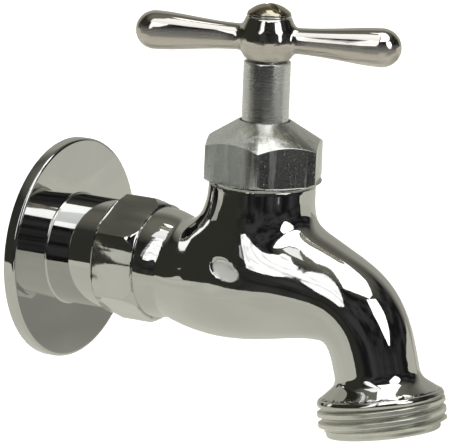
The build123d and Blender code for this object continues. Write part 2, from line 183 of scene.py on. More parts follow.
def turned(outline, place, angles):
    """Closed mesh: a closed (along, radius) outline turned about an axis.

    outline is an array, or a function that gives one for each angle, all of one length.
    One that starts and ends on the axis gives a solid middle; any other gives a ring.
    """
    if callable(outline):
        sections = np.stack([outline(a) for a in angles], 1)
    else:
        sections = np.repeat(outline[:, None, :], len(angles), 1)
    s, r = sections[..., 0], sections[..., 1]
    points = place(s, r, np.repeat(angles[None, :], len(sections), 0)).reshape(-1, 3)
    solid = r[0].max() == 0 and r[-1].max() == 0
    faces = grid_faces(len(sections), len(angles), wrap_rows=not solid)
    area = np.sum(s[:, 0] * np.roll(r[:, 0], -1) - r[:, 0] * np.roll(s[:, 0], -1))
    faces = faces if area < 0 else faces[:, ::-1]
    return close_on_axis(points, faces, len(angles)) if solid else (points, faces)


def hexagon_angles(first_corner):
    """Angles about an axis, closer together at a hexagon's corners."""
    at_corner = [28.7, 29.2, 29.6, 30, 30.4, 30.8, 31.3]
    across = np.concatenate([np.linspace(-28, 28, 15), at_corner])
    middles = np.arange(6) * 60 + 30
    return np.radians(np.sort(np.add.outer(middles, across).ravel() % 360)) + first_corner


def hexagon_radius(angle, first_corner, corner=0.35):
    """Radius of a hexagon with rounded corners, at an angle about its axis."""
    flat = HEX_AF / 2
    from_flat = (angle - first_corner) % (pi / 3) - pi / 6
    if abs(from_flat) <= atan((flat - corner) * tan(pi / 6) / flat):
        return flat / cos(from_flat)
    off = pi / 6 - abs(from_flat)
    centre = (flat - corner) / cos(pi / 6)
    return centre * cos(off) + sqrt(corner**2 - (centre * sin(off)) ** 2)


# ---- smooth implicit solids, for the casting, the handle and its screw ----
HALVINGS = 14                 # of the search for the nearest point of a centre line
BLOCK = 4                     # grid cells along one side of a block
BLOCK_REACH = 0.87            # from a block's centre to its corner, as a share of its side
BATCH = 8000                  # grid points worked out at one time
RELAXING = 0.6                # share of the way that a point moves towards its neighbours
PULLING = 0.95                # share of the distance that a point moves onto the surface
PROBE = 0.02                  # distance between the samples that give a slope
TETRA = np.array([[1, 1, 1], [1, -1, -1], [-1, 1, -1], [-1, -1, 1]]) / sqrt(3)


class Spline:
    """Natural cubic spline through rows of values, one row for each t."""

    def __init__(self, t, values):
        self.t, self.values = t, values
        count, h = len(t), np.diff(t)
        slope = np.diff(values, axis=0) / h[:, None]
        matrix, right = np.eye(count), np.zeros(values.shape)
        for k in range(1, count - 1):
            matrix[k, k - 1 : k + 2] = h[k - 1], 2 * (h[k - 1] + h[k]), h[k]
            right[k] = 6 * (slope[k] - slope[k - 1])
        self.bend = np.linalg.solve(matrix, right)

    def at(self, t):
        """The values at t, with their first derivatives."""
        k = np.clip(np.searchsorted(self.t, t) - 1, 0, len(self.t) - 2)
        h = self.t[k + 1] - self.t[k]
        a, b = ((self.t[k + 1] - t) / h)[:, None], ((t - self.t[k]) / h)[:, None]
        h = h[:, None]
        y0, y1, m0, m1 = self.values[k], self.values[k + 1], self.bend[k], self.bend[k + 1]
        value = a * y0 + b * y1 + ((a**3 - a) * m0 + (b**3 - b) * m1) * h**2 / 6
        slope = (y1 - y0) / h + ((1 - 3 * a**2) * m0 + (3 * b**2 - 1) * m1) * h / 6
        return value, slope


class Canal:
    """A round tube of changing radius along a smooth centre line in the XZ plane.

    Its stations are (centre X, centre Z, radius).
    """

    def __init__(self, stations, samples=160):
        knots = np.array(stations, float)
        steps = np.hypot(np.diff(knots[:, 0]), np.diff(knots[:, 1]))
        self.line = Spline(np.concatenate([[0], np.cumsum(steps)]), knots)
        self.samples = np.linspace(0, self.line.t[-1], samples)
        self.points = self.line.at(self.samples)[0]

    def distance(self, p, fine):
        """Signed distance of the tube: fine searches between the samples of the centre line."""
        d = (
            np.sqrt(
                (p[:, 0, None] - self.points[None, :, 0]) ** 2
                + p[:, 1, None] ** 2
                + (p[:, 2, None] - self.points[None, :, 1]) ** 2
            )
            - self.points[None, :, 2]
        )
        best = np.argmin(d, 1)
        if not fine:
            return d[np.arange(len(p)), best]
        t, width = self.samples[best], self.samples[1]
        low, high = np.maximum(t - width, 0), np.minimum(t + width, self.line.t[-1])
        for _ in range(HALVINGS):
            middle = (low + high) / 2
            value, slope = self.line.at(middle)
            to_x, to_z = p[:, 0] - value[:, 0], p[:, 2] - value[:, 1]
            length = np.sqrt(to_x**2 + p[:, 1] ** 2 + to_z**2) + 1e-9
            rising = -(to_x * slope[:, 0] + to_z * slope[:, 1]) / length - slope[:, 2] > 0
            high = np.where(rising, middle, high)
            low = np.where(rising, low, middle)
        value = self.line.at((low + high) / 2)[0]
        to_x, to_z = p[:, 0] - value[:, 0], p[:, 2] - value[:, 1]
        return np.sqrt(to_x**2 + p[:, 1] ** 2 + to_z**2) - value[:, 2]


def melt(a, b, reach):
    """Smooth union of two distances; reach is how far from the crease it blends."""
    h = np.maximum(reach - np.abs(a - b), 0) / reach
    return np.minimum(a, b) - h**3 * reach / 6


def cut(a, b, reach=0.3):
    """Distance a with the solid b taken out, its rim eased."""
    return -melt(-a, b, reach)


def outline_distance(s, r, corners):
    """Signed distance in the (along, radius) plane to a polygon."""
    best = np.full(s.shape, 1e9)
    inside = np.zeros(s.shape, bool)
    for k in range(len(corners)):
        (x0, y0), (x1, y1) = corners[k - 1], corners[k]
        ex, ey, wx, wy = x1 - x0, y1 - y0, s - x0, r - y0
        t = np.clip((wx * ex + wy * ey) / (ex * ex + ey * ey), 0, 1)
        best = np.minimum(best, np.hypot(wx - t * ex, wy - t * ey))
        crosses = (y0 > r) != (y1 > r)
        with np.errstate(divide="ignore", invalid="ignore"):
            inside ^= crosses & (s < ex * (r - y0) / (ey if ey else 1e-12) + x0)
    return np.where(inside, -best, best)


def surface_nets(values, origin, step):
    """Quads around the zero level of a grid of distances."""
    shape = np.array(values.shape)
    negative = values < 0
    total = np.zeros((*(shape - 1), 3))
    count = np.zeros(shape - 1)
    crossings = []
    for axis in range(3):
        first = [slice(None)] * 3
        second = [slice(None)] * 3
        first[axis], second[axis] = slice(None, -1), slice(1, None)
        a, b = values[tuple(first)], values[tuple(second)]
        crossing = negative[tuple(first)] != negative[tuple(second)]
        index = np.argwhere(crossing)
        share = a[crossing] / (a[crossing] - b[crossing])
        point = index.astype(float)
        point[:, axis] += share
        u, v = (axis + 1) % 3, (axis + 2) % 3
        for du in (0, 1):
            for dv in (0, 1):
                cell = index.copy()
                cell[:, u] -= du
                cell[:, v] -= dv
                ok = np.all((cell >= 0) & (cell < shape - 1), 1)
                np.add.at(total, tuple(cell[ok].T), point[ok])
                np.add.at(count, tuple(cell[ok].T), 1)
        crossings.append((axis, index, negative[tuple(first)][crossing]))
    used = count > 0
    number = np.full(count.shape, -1)
    number[used] = np.arange(used.sum())
    points = total[used] / count[used][:, None] * step + origin
    faces = []
    for axis, index, leaving in crossings:
        u, v = (axis + 1) % 3, (axis + 2) % 3
        ok = (index[:, u] > 0) & (index[:, v] > 0)
        ok &= (index[:, u] < shape[u] - 1) & (index[:, v] < shape[v] - 1)
        index, leaving = index[ok], leaving[ok]
        ring = []
        for du, dv in ((1, 1), (0, 1), (0, 0), (1, 0)):
            cell = index.copy()
            cell[:, u] -= du
            cell[:, v] -= dv
            ring.append(number[tuple(cell.T)])
        quad = np.stack(ring, 1)
        quad[~leaving] = quad[~leaving][:, ::-1]
        faces.append(quad)
    return points, np.concatenate(faces)


def skin(distance, low, high, step, passes=3):
    """Mesh of the solid where distance(points) is negative, with its points on the surface."""
    low = np.array(low, float)
    blocks = np.ceil((np.array(high) - low) / step / BLOCK).astype(int) + 1
    corners = np.stack(np.indices(blocks), -1).reshape(-1, 3) * BLOCK
    values = distance(low + (corners + (BLOCK - 1) / 2) * step, False).reshape(blocks)
    for axis in range(3):
        values = np.repeat(values, BLOCK, axis)
    # only the blocks that the surface may pass through are worked out point by point
    near = np.argwhere(np.abs(values) < (BLOCK * BLOCK_REACH + 1) * step)
    for part in np.array_split(near, len(near) // BATCH + 1):
        values[tuple(part.T)] = distance(low + part * step, False)
    points, faces = surface_nets(values, low, step)
    edges = np.concatenate([faces[:, [k, (k + 1) % 4]] for k in range(4)])
    degree = np.bincount(edges[:, 0], minlength=len(points))[:, None]
    for turn in range(passes):
        if turn:
            mean = np.zeros(points.shape)
            np.add.at(mean, edges[:, 0], points[edges[:, 1]])
            points = points + RELAXING * (mean / degree - points)
        points = pull(distance, points)
    return pull(distance, points), faces


def pull(distance, points):
    """Points moved along the distance's slope onto its zero level."""
    slope = sum(distance(points + PROBE * v, True)[:, None] * v for v in TETRA)
    slope /= np.linalg.norm(slope, axis=1)[:, None] + 1e-12
    return points - distance(points, True)[:, None] * slope * PULLING


# ---- the casting ----
# Centre X, centre Z and radius of the outside, from the inlet tube to the collar.
OUTSIDE = [
    (21.0, 0.0, 11.9),
    (24.5, 0.0, 11.75),
    (26.8, -0.1, 11.15),
    (29.5, -0.45, 10.75),
    (33.5, -0.95, 11.3),
    (38.0, -0.9, 12.25),
    (43.0, -0.25, 13.15),
    (48.8, 0.6, 13.4),
    (54.0, 1.05, 12.95),
    (60.0, 0.57, 11.55),
    (65.3, -0.42, 10.3),
    (69.6, -1.74, 9.62),
    (72.7, -3.6, 9.33),
    (75.1, -6.3, 9.1),
    (76.9, -10.0, 8.95),
    (78.1, -14.0, 8.9),
    (79.2, -18.5, 8.9),
    (79.75, -23.0, 8.9),
]
INLET_WAY = [
    (14.0, 0.0, 6.4),
    (22.0, -0.3, 6.4),
    (30.0, -2.0, 6.1),
    (38.0, -4.5, 5.6),
    (47.0, -5.2, 5.3),
]
OUTLET_WAY = [
    (52.0, 6.0, 6.6),
    (57.0, 3.2, 6.6),
    (62.7, 0.6, 6.7),
    (68.5, -1.9, 6.8),
    (72.7, -4.5, 6.8),
    (76.0, -9.2, 6.8),
    (78.3, -15.0, 6.8),
    (79.5, -20.0, 6.8),
    (80.0, -24.0, 6.8),
]
NECK_R = 11.2
NECK_BLEND, NECK_BLEND_MORE = 8.6, 3.2     # reach of its blend, and how much more towards the wall
NECK_RING_Z = 20.6            # underside of the turned ring below the nut
NECK_RIM_Z = BODY_HIGH[2]
NECK_THREAD_R = 9.8
NECK_BORE_R = 8.3
CHAMBER_FLOOR_Z = 2.6
SEAT_HOLE_R, SEAT_HOLE_Z, SEAT_HOLE_HALF = 5.6, 1.0, 3.0
CASTING_START_X = 24.0
# the shoulder over the hose collar, as (along, radius) from the mouth
SHOULDER = [
    (-2.2, 0),
    (-2.2, 12.6),
    (-3.0, 12.8),
    (-4.4, 10.9),
    (-5.4, 9.6),
    (-6.2, 8.7),
    (-6.2, 0),
]
SHOULDER_BLEND = 1.8
SHOULDER_END = -2.9           # along the mouth's axis
PAD = (STEM_X - 0.2, -13.0, 3.6)   # a flat spot ground on the globe, facing a little upwards
PAD_HALF = (3.45, 1.95)
PAD_TILT = radians(22)
PAD_FACING = np.array([0.03, -0.97, 0.24])
PAD_NORMAL = PAD_FACING / np.linalg.norm(PAD_FACING)
PAD_CUT, PAD_EDGE = 1.5, 0.12      # half the cutter's thickness, and the ease of its rim

outside = Canal(OUTSIDE)
inlet_way = Canal(INLET_WAY, 60)
outlet_way = Canal(OUTLET_WAY, 80)


def casting_distance(p, fine):
    """Signed distance of the casting, between the inlet hexagon and the hose collar."""
    x, y, z = p[:, 0], p[:, 1], p[:, 2]
    from_stem = np.hypot(x - STEM_X, y)
    run = outside.distance(p, fine)
    neck = np.maximum(from_stem - NECK_R, -z)
    # the blend under the neck is broad towards the wall and tight over the spout
    towards_wall = np.clip((STEM_X - x) / NECK_R, -1, 1)
    solid = melt(run, neck, NECK_BLEND + NECK_BLEND_MORE * towards_wall)
    solid = np.maximum(solid, z - NECK_RING_Z)

    s = (x - MOUTH_X) * MOUTH_AXIS[0] + (z - MOUTH_Z) * MOUTH_AXIS[2]
    r = np.sqrt(np.maximum((x - MOUTH_X) ** 2 + y**2 + (z - MOUTH_Z) ** 2 - s**2, 0))
    solid = melt(solid, outline_distance(s, r, SHOULDER), SHOULDER_BLEND)
    solid = np.maximum(solid, s - SHOULDER_END)

    pad_x, pad_z = x - PAD[0], z - PAD[2]
    along = pad_x * cos(PAD_TILT) - pad_z * sin(PAD_TILT)
    across = pad_x * sin(PAD_TILT) + pad_z * cos(PAD_TILT)
    oval = (np.hypot(along / PAD_HALF[0], across / PAD_HALF[1]) - 1) * PAD_HALF[1]
    outward = pad_x * PAD_NORMAL[0] + (y - PAD[1]) * PAD_NORMAL[1] + pad_z * PAD_NORMAL[2]
    pad = np.maximum(oval, np.abs(outward - PAD_CUT) - PAD_CUT)
    solid = cut(solid, pad, PAD_EDGE)

    solid = np.maximum(solid, CASTING_START_X - x)
    hollow = np.minimum(inlet_way.distance(p, fine), outlet_way.distance(p, fine))
    hollow = np.minimum(hollow, np.maximum(from_stem - NECK_BORE_R, CHAMBER_FLOOR_Z - z))
    seat_hole = np.maximum(from_stem - SEAT_HOLE_R, np.abs(z - SEAT_HOLE_Z) - SEAT_HOLE_HALF)
    return cut(solid, np.minimum(hollow, seat_hole))


# ---- turned and threaded ends of the body ----
NUT_BOTTOM_Z, NUT_TOP_Z = NUT_LOW[2], NUT_HIGH[2]
INCH = 25.4
BOSS_START_X = 14.5
BOSS_EDGE = 1.1               # how far the hexagon's back corners are turned down
NOSE_START_X, NOSE_END_X = 18.6, 24.75     # its front is turned to a quarter oval between these
NOSE_END_R = 11.65
INLET_END_X = 26.0            # hidden in the casting, which starts before it
SPIGOT_START_X = BODY_LOW[0]
SPIGOT_R = 10.85
INLET_ROOT_R, INLET_CREST_R, INLET_PITCH = 8.45, 7.5, INCH / 18
INLET_MOUTH_R = 8.75
THREAD_FIRST_X, THREAD_LAST_X = 3.6, 13.7
INLET_BORE_R, INLET_BORE_X = 6.5, 15.5
HOSE_ROOT_R, HOSE_PITCH, HOSE_TURNS, HOSE_MIDDLE = 12.3, INCH / 11.5, 1.75, 0.8
HOSE_BORE_R, PILOT_R, MOUTH_END = 8.8, 12.0, 5.1
COLLAR_START, COLLAR_INNER_R = -2.7, 7.0   # the collar's upper end, hidden in the casting
FADE = 0.5                    # length over which a thread fades out at its ends


def ease(value):
    value = np.clip(value, 0, 1)
    return value * value * (3 - 2 * value)


def ridge_height(s, angle, pitch, first, last, crest, foot):
    """Share of a right-hand thread's height at (s, angle), fading out at its ends."""
    phase = (s / pitch - angle / (2 * pi) + 0.5) % 1 - 0.5
    profile = ease((foot / 2 - abs(phase) * pitch) / ((foot - crest) / 2))
    return profile * ease((s - first) / FADE) * ease((last - s) / FADE)


def inlet_end(angle):
    """Spigot, wrench hexagon and threaded bore, in section at one angle."""
    corner_r = hexagon_radius(angle, 0.0, 0.5)
    # the front is turned away in a round nose, which meets each flat in a leaf-shaped edge
    turn = np.linspace(0, pi / 2, 60)
    nose_s = NOSE_START_X + (NOSE_END_X - NOSE_START_X) * np.sin(turn)
    nose_r = NOSE_END_R + 0.1 + (HEX_CORNER_R + 0.25 - NOSE_END_R) * np.cos(turn)
    meets = float(np.interp(-corner_r, -nose_r, nose_s))
    nose = [
        (s, float(np.interp(s, nose_s, nose_r)))
        for s in np.linspace(meets, NOSE_END_X - 0.2, 16)
    ]
    nose[0] = (*nose[0], 0.9)
    edge = corner_r - HEX_CORNER_R + BOSS_EDGE
    outer = [
        (SPIGOT_START_X, SPIGOT_R, 0.5),
        (BOSS_START_X, SPIGOT_R),
        (BOSS_START_X, HEX_CORNER_R - BOSS_EDGE, 0.2),
        (BOSS_START_X + 0.25 + 0.6 * edge, corner_r, 0.35),
        *nose,
        (NOSE_END_X, NOSE_END_R + 0.05, 0.2),
        (NOSE_END_X + 0.3, NOSE_END_R - 0.35, 0.2),
        (INLET_END_X - 0.3, NOSE_END_R - 0.3, 0.1),
        (INLET_END_X, NOSE_END_R - 1.2),
    ]
    inner = [(INLET_END_X, INLET_BORE_R), (INLET_BORE_X, INLET_BORE_R)]
    first, last = THREAD_FIRST_X, THREAD_LAST_X
    for s in np.arange(last + 0.3, first - 0.3, -0.09):
        height = ridge_height(s, angle, INLET_PITCH, first, last, 0.15, 1.25)
        inner.append((s, INLET_ROOT_R - (INLET_ROOT_R - INLET_CREST_R) * float(height)))
    inner += [(first - 0.4, INLET_MOUTH_R), (SPIGOT_START_X, INLET_MOUTH_R, 0.5)]
    return rounded(outer + inner, 4)


def hose_collar(angle):
    """Bead, hose thread, pilot, end face and bore, in section at one angle."""
    section = [
        (COLLAR_START, 9.0),
        (-3.1, 12.5, 0.2),
        (-2.95, 13.0, 0.3),
        (-2.2, 13.45, 0.6),
        (-1.55, 13.2, 0.35),
        (-1.35, HOSE_ROOT_R, 0.25),
    ]
    half = HOSE_PITCH * HOSE_TURNS / 2 + 0.9
    for s in np.arange(-1.25, 3.8, 0.075):
        height = ridge_height(s - HOSE_MIDDLE, angle, HOSE_PITCH, -half, half, 0.8, 2.05)
        section.append((s, HOSE_ROOT_R + (HOSE_MAJOR_R - HOSE_ROOT_R) * float(height)))
    section += [
        (3.9, PILOT_R, 0.1),
        (MOUTH_END, PILOT_R, 0.8),
        (MOUTH_END, HOSE_BORE_R, 0.4),
        (-1.0, HOSE_BORE_R, 0.5),
        (COLLAR_START, COLLAR_INNER_R),
    ]
    return rounded(section, 4)


NECK_COLLAR = rounded([
    (NECK_RING_Z - 0.8, NECK_BORE_R + 0.05),
    (NECK_RING_Z - 0.8, NECK_R - 0.4),
    (NECK_RING_Z, NECK_R - 0.35),
    (NECK_RING_Z + 0.02, NECK_R + 0.22, 0.18),
    (NUT_BOTTOM_Z - 0.1, NECK_R + 0.22, 0.3),
    (NUT_BOTTOM_Z - 0.05, NECK_THREAD_R, 0.1),
    (NECK_RIM_Z, NECK_THREAD_R, 0.3),
    (NECK_RIM_Z, NECK_BORE_R, 0.2),
])

# ---- wall flange ----
SLEEVE_R = 11.65
FLANGE_THICK, FLANGE_HOLLOW = 2.8, 1.9    # along X: the plate, and the hollow in its back
FLANGE = rounded([
    (0, FLANGE_R, 0.4),
    (FLANGE_THICK, FLANGE_R, 0.75),
    (FLANGE_THICK, SLEEVE_R, 0.5),
    (SLEEVE_END_X, SLEEVE_R, 0.35),
    (SLEEVE_END_X, SPIGOT_R + 0.03, 0.1),
    (FLANGE_HOLLOW, SPIGOT_R + 0.03, 0.3),
    (FLANGE_HOLLOW, FLANGE_R - 1.3, 0.5),
    (0, FLANGE_R - 1.5, 0.15),
])

# ---- cap nut ----
NUT_CORNER = radians(25.7 - 90.0)
NUT_EDGE = 0.9                # how far the lower corners are turned down
NUT_FLAT_TOP_Z = 29.96
NUT_SLOPE = tan(radians(31.6))
NUT_HOLE_R = 5.3
NUT_POCKET_R, NUT_POCKET_BOTTOM_Z, NUT_POCKET_TOP_Z = 7.2, 29.0, 31.1


def cap_nut(angle):
    """Hexagon with a conical top, in section at one angle."""
    corner_r = hexagon_radius(angle, NUT_CORNER, 0.3)
    top_r = HEX_AF / 2 - (NUT_TOP_Z - NUT_FLAT_TOP_Z) / NUT_SLOPE
    edge = corner_r - HEX_CORNER_R + NUT_EDGE
    return rounded([
        (NUT_BOTTOM_Z, NECK_THREAD_R + 0.05, 0.2),
        (NUT_BOTTOM_Z, HEX_CORNER_R - NUT_EDGE, 0.15),
        (NUT_BOTTOM_Z + 0.1 + 0.5 * edge, corner_r, 0.25),
        (NUT_FLAT_TOP_Z - (corner_r - HEX_AF / 2) * NUT_SLOPE, corner_r, 0.3),
        (NUT_TOP_Z, top_r + 0.1, 0.5),
        (NUT_TOP_Z, NUT_HOLE_R, 0.3),
        (NUT_POCKET_TOP_Z, NUT_HOLE_R, 0.1),
        (NUT_POCKET_TOP_Z, NUT_POCKET_R),
        (NUT_POCKET_BOTTOM_Z, NUT_POCKET_R),
        (NUT_POCKET_BOTTOM_Z, NECK_THREAD_R + 0.05),
    ], 4)


# ---- stem ----
STEM_R = 4.94
STEM_SHOULDER_Z = 46.3
STEM_FOOT_R = 4.4
LEAD = 2.0
STEM_ROOT_R, STEM_RIDGE = 5.05, 0.95
STEM_THREAD_MIDDLE_Z, STEM_THREAD_HALF = 14.5, 3.0
STEM_THREAD_TOP_Z = 18.1
# the socket in the stem's foot, as (height, radius): its groove holds the washer holder's stub
STEM_SOCKET = [(5.15, 0), (5.15, 2.2), (4.85, 2.6), (3.75, 2.6), (3.4, 2.25), (0, 2.25, 0.1)]
DRIVE_AF = 6.6
SCREW_R = 2.4
HUB_TOP_Z = HANDLE_HIGH[2]
HUB_BOTTOM_Z = HANDLE_LOW[2]
SCREW_HOLE_FLOOR_Z = HUB_BOTTOM_Z - 2


def square_radius(angle, across, corner=0.5):
    """Radius of a square with rounded corners, at an angle about its axis."""
    flat = across / 2
    from_flat = abs((angle + pi / 4) % (pi / 2) - pi / 4)
    if flat * tan(from_flat) <= flat - corner:
        return flat / cos(from_flat)
    centre = (flat - corner) * sqrt(2)
    off = pi / 4 - from_flat
    return centre * cos(off) + sqrt(corner**2 - (centre * sin(off)) ** 2)


def stem(angle):
    """Lead thread, journal and square drive, in section at one angle."""
    bottom, drive_top = STEM_LOW[2], STEM_HIGH[2]
    square = square_radius(angle, DRIVE_AF)
    outline = [
        *((bottom + rise, *rest) for rise, *rest in STEM_SOCKET),
        (bottom, STEM_FOOT_R, 0.1),
        (bottom + 0.5, STEM_ROOT_R, 0.2),
    ]
    half = STEM_THREAD_HALF
    for z in np.arange(bottom + 0.8, STEM_THREAD_TOP_Z, 0.1):
        height = ridge_height(z - STEM_THREAD_MIDDLE_Z, angle, LEAD, -half, half, 0.5, 0.9)
        outline.append((z, STEM_ROOT_R + STEM_RIDGE * float(height)))
    outline += [
        (STEM_THREAD_TOP_Z + 0.1, STEM_R),
        (26.4, STEM_R),                # two rings that keep the shading of the long side even
        (32.0, STEM_R),
        (STEM_SHOULDER_Z, STEM_R, 0.45),
        (STEM_SHOULDER_Z, square + 0.25, 0.2),
        (STEM_SHOULDER_Z + 0.3, square, 0.1),
        (drive_top - 0.3, square),
        (drive_top, square - 0.3),
        (drive_top, SCREW_R),
        (SCREW_HOLE_FLOOR_Z, SCREW_R),
        (SCREW_HOLE_FLOOR_Z, 0),
    ]
    return rounded(outline, 4)


# ---- tee handle, its washer and its screw ----
BAR_Z = 51.0
BAR_TURN = radians(18.25)
BAR_REACH = 28.4
BAR_BLEND = 1.3
HUB_R = 6.0
HUB_HOLE_R = 2.6
# half the bar's length and radius, from the hub out to the rounded tip
BAR = [(0, 2.85), (5.5, 2.75), (9, 2.85), (13, 3.15), (17, 3.55), (21, 3.95), (24.2, 4.1)]
BAR_TIP_AT, BAR_TIP_R = BAR[-1]


def bar_outline():
    """Corners of half the bar, in the (along, radius) plane."""
    knots = np.array(BAR)
    run = Spline(knots[:, 0], knots).at(np.linspace(0, BAR_TIP_AT, 60))[0]
    tip = np.linspace(0, pi / 2, 40)[1:]
    # the tip is a quarter of an oval
    cap = np.stack(
        [BAR_TIP_AT + (BAR_REACH - BAR_TIP_AT) * np.sin(tip), BAR_TIP_R * np.cos(tip)], 1
    )
    return np.concatenate([[(-1.0, 0.0)], [(-1.0, BAR[0][1])], run, cap])


def handle_distance(p, fine):
    """Signed distance of the handle, with X along its bar and its hub about Z."""
    from_hub = np.hypot(p[:, 0], p[:, 1])
    hub = outline_distance(p[:, 2], from_hub, HUB)
    bar = outline_distance(np.abs(p[:, 0]), np.hypot(p[:, 1], p[:, 2] - BAR_Z), BAR_OUTLINE)
    solid = melt(hub, bar, BAR_BLEND)
    half = DRIVE_AF / 2 + 0.02
    c, n = cos(BAR_TURN), sin(BAR_TURN)
    across_x = np.abs(p[:, 0] * c - p[:, 1] * n)
    across_y = np.abs(p[:, 0] * n + p[:, 1] * c)
    square = np.maximum(across_x, across_y) - half
    hole = np.maximum(square, p[:, 2] - STEM_HIGH[2])
    hole = np.minimum(hole, from_hub - HUB_HOLE_R)
    return cut(solid, hole, 0.25)


HUB = rounded([
    (HUB_BOTTOM_Z, 0),
    (HUB_BOTTOM_Z, HUB_R - 1.2, 0.5),
    (HUB_BOTTOM_Z + 1.3, HUB_R - 0.45, 1.4),
    (BAR_Z, HUB_R + 0.2, 0.35),
    (BAR_Z + 2.2, HUB_R - 0.15, 1.6),
    (HUB_TOP_Z - 0.4, HUB_R - 1.15, 0.5),
    (HUB_TOP_Z, HUB_R - 1.4, 0.2),
    (HUB_TOP_Z, 0),
], 8)
BAR_OUTLINE = bar_outline()

WASHER_RING = rounded([
    (WASHER_LOW[2], WASHER_HIGH[0] - STEM_X, 0.15),
    (WASHER_HIGH[2], WASHER_HIGH[0] - STEM_X, 0.25),
    (WASHER_HIGH[2], HUB_HOLE_R),
    (WASHER_LOW[2], HUB_HOLE_R),
])

HEAD_R = HEAD_HIGH[0] - STEM_X
HEAD_BASE_Z = WASHER_HIGH[2]
HEAD_TOP_Z = HEAD_HIGH[2]
HEAD_RIM = 0.35               # height of the rim under the dome
SLOT_WIDTH, SLOT_DEPTH, SLOT_TURN = 1.1, 1.25, radians(-32)


def screw_distance(p, fine):
    """Signed distance of the handle's screw: a dome with a slot across it, on a shank."""
    r = np.hypot(p[:, 0], p[:, 1])
    rise = HEAD_TOP_Z - HEAD_BASE_Z - HEAD_RIM
    dome_r = (HEAD_R**2 + rise**2) / (2 * rise)
    dome = np.sqrt(r**2 + (p[:, 2] - (HEAD_TOP_Z - dome_r)) ** 2) - dome_r
    head = np.maximum(dome, r - HEAD_R)
    head = np.maximum(head, HEAD_BASE_Z - p[:, 2])
    across = -p[:, 0] * sin(SLOT_TURN) + p[:, 1] * cos(SLOT_TURN)
    slot = np.maximum(np.abs(across) - SLOT_WIDTH / 2, HEAD_TOP_Z - SLOT_DEPTH - p[:, 2])
    head = cut(head, slot, 0.35)
    ends = np.maximum(HEAD_LOW[2] - p[:, 2], p[:, 2] - HEAD_BASE_Z - 0.5)
    return np.minimum(head, np.maximum(r - SCREW_R, ends))


def turned_about_stem(points, turn):
    """Points from a piece's own frame to the object's, about the stem axis."""
    c, n = cos(turn), sin(turn)
    x, y, z = points.T
    return np.stack([STEM_X + x * c - y * n, x * n + y * c, z], 1)


# ---- materials ----
class Nodes:
    """Short way to write a node tree: each call adds what it needs and returns an output."""

    def __init__(self, tree):
        self.tree = tree
        tree.nodes.clear()

    def add(self, kind, inputs=(), output=0, **settings):
        node = self.tree.nodes.new(kind)
        for key, value in settings.items():
            setattr(node, key, value)
        for key, value in dict(inputs).items():
            if isinstance(value, bpy.types.NodeSocket):
                self.tree.links.new(value, node.inputs[key])
            else:
                node.inputs[key].default_value = value
        return node.outputs[output] if node.outputs else None

    def place(self):
        """Object coordinates, in metres."""
        return self.add("ShaderNodeTexCoord", output=3)

    def vector(self, operation, a, b, output=1):
        """Vector arithmetic; output 1 is a number, output 0 a vector."""
        inputs = {0: a, 1: b}
        return self.add("ShaderNodeVectorMath", inputs, output, operation=operation)

    def noise(self, scale, detail=3.0, distortion=0.0):
        """Noise over the object coordinates; scale is a number or one for each axis, per metre."""
        scale = scale if isinstance(scale, tuple) else (scale, scale, scale)
        vector = self.add("ShaderNodeMapping", {0: self.place(), 3: scale})
        return self.noise_at(vector, detail, distortion)

    def noise_at(self, vector, detail, distortion=0.0):
        inputs = {"Vector": vector, "Scale": 1.0, "Detail": detail, "Distortion": distortion}
        return self.add("ShaderNodeTexNoise", inputs)

    def between(self, value, low, high, start=0.3, end=0.7):
        """low where the value is start or less, high where it is end or more."""
        return self.add("ShaderNodeMapRange", {0: value, 1: start, 2: end, 3: low, 4: high})

    def math(self, operation, a, b=0.0):
        return self.add("ShaderNodeMath", {0: a, 1: b}, operation=operation)

    def mix(self, factor, a, b):
        return self.add("ShaderNodeMix", {0: factor, 6: a, 7: b}, output=2, data_type="RGBA")

    def blend(self, factor, a, b):
        return self.add("ShaderNodeMix", {0: factor, 2: a, 3: b})

    def oval(self, centre, half, turn):
        """Distance from a centre in the XZ plane, 1 on an oval of these half lengths, in metres."""
        # a great half length along Y leaves that axis out
        flat = {0: self.place(), 1: centre, 2: (0, turn, 0), 3: (half[0], 1e3, half[1])}
        local = self.add("ShaderNodeMapping", flat, vector_type="TEXTURE")
        return self.add("ShaderNodeVectorMath", {0: local}, output=1, operation="LENGTH")


def new_material(name):
    material = bpy.data.materials.new(name)
    material.use_nodes = True
    return material, Nodes(material.node_tree)


# Scales of the patterns, per metre.
SMUDGES, PITS, SCRATCHES, WAVES = 95, 1800, (800, 800, 45), 90
SCRATCH_ROUGHNESS = 0.5


